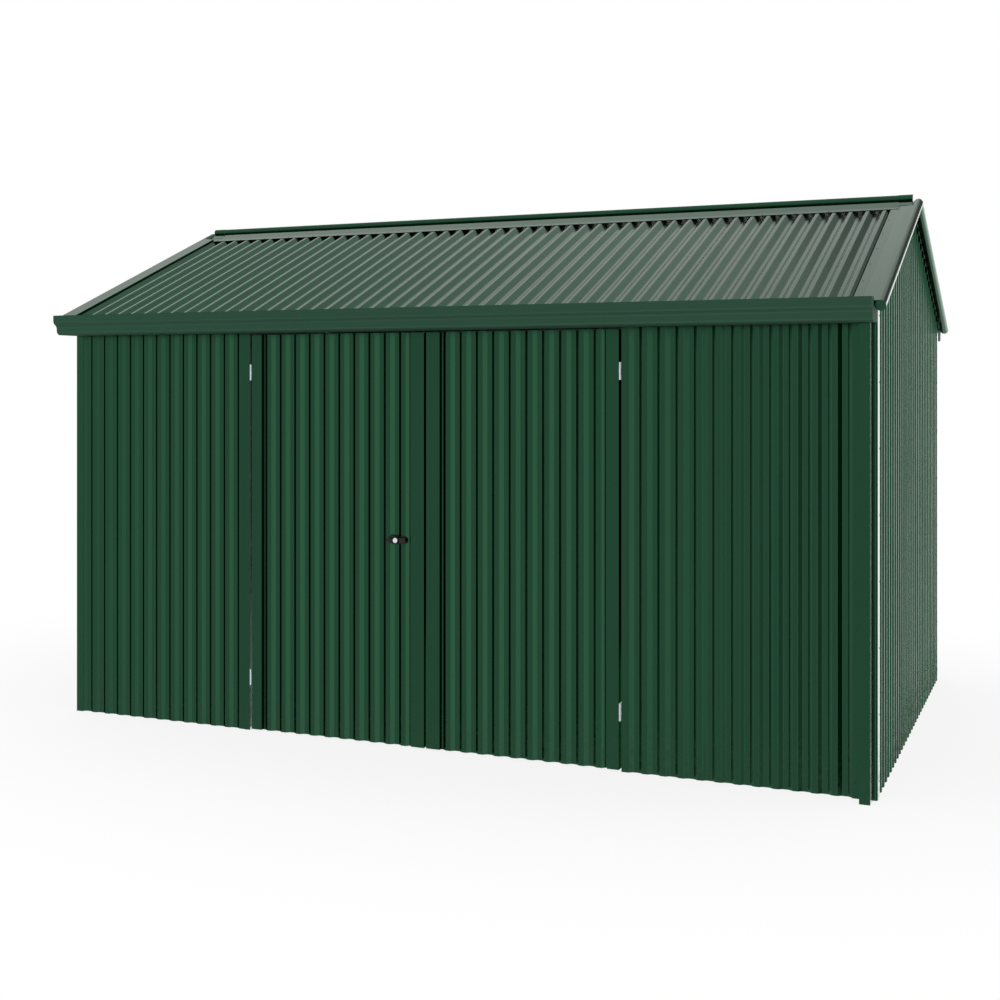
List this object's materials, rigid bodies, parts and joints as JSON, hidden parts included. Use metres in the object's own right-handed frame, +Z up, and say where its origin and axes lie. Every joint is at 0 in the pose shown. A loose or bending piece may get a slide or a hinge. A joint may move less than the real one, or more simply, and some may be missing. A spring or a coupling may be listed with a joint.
{
  "type": "metal storage shed",
  "caption": "Gable-roof storage shed of ribbed painted sheet steel with hinged double doors, turning lock handle, rolled ridge and barge caps, gutters and downpipes.",
  "frame": {"origin": "on the ground under the middle of the shed", "axes": "+Z up, +X to the right along the ridge, doors towards -Y"},
  "size_m": [4.3, 2.9866, 2.7201],
  "materials": {
    "green_paint": "glossy baked paint",
    "inner_frame": "galvanised, dull",
    "hinge_steel": "zinc plated",
    "lock_black": "black, satin",
    "barrel_metal": "polished"
  },
  "bodies": {
    "shed": {"front_left_wall": "green_paint", "front_right_wall": "green_paint", "front_header": "green_paint", "back_wall": "green_paint", "left_gable_wall": "green_paint", "right_gable_wall": "green_paint", "front_left_corner": "green_paint", "front_right_corner": "green_paint", "back_left_corner": "green_paint", "back_right_corner": "green_paint", "front_roof": "green_paint", "back_roof": "green_paint", "ridge_cap": "green_paint", "ridge_ends": "green_paint", "front_left_barge": "green_paint", "front_right_barge": "green_paint", "back_left_barge": "green_paint", "back_right_barge": "green_paint", "front_gutter": "green_paint", "back_gutter": "green_paint", "front_downpipe": "green_paint", "back_downpipe": "green_paint", "left_base_channel": "inner_frame", "right_base_channel": "inner_frame", "back_base_channel": "inner_frame", "front_base_channels": "inner_frame", "left_girt": "inner_frame", "right_girt": "inner_frame", "back_girt": "inner_frame", "front_girts": "inner_frame", "front_top_plate": "inner_frame", "back_top_plate": "inner_frame", "left_rafters": "inner_frame", "right_rafters": "inner_frame", "ridge_purlin": "inner_frame", "door_posts": "inner_frame", "hinge_leaves": "hinge_steel"},
    "left_door": {"left_door_stiles": "green_paint", "left_door_rails": "inner_frame", "left_door_sheet": "green_paint", "left_door_hinges": "hinge_steel", "lock_plate": "lock_black"},
    "right_door": {"right_door_stiles": "green_paint", "right_door_rails": "inner_frame", "right_door_sheet": "green_paint", "right_door_hinges": "hinge_steel"},
    "lock": {"lock_handle": "lock_black", "lock_barrel": "barrel_metal"}
  },
  "joints": [
    {"name": "left_door_swing", "type": "hinge", "parent": "shed", "child": "left_door", "pos_m": [-0.995, -1.315, 1.043], "axis": [0, 0, -1], "range_deg": [0, 110]},
    {"name": "right_door_swing", "type": "hinge", "parent": "shed", "child": "right_door", "pos_m": [0.965, -1.315, 1.043], "axis": [0, 0, 1], "range_deg": [0, 110]},
    {"name": "lock_turn", "type": "hinge", "parent": "left_door", "child": "lock", "pos_m": [-0.16, -1.33, 1.0025], "axis": [0, 1, 0], "range_deg": [0, 90]}
  ]
}
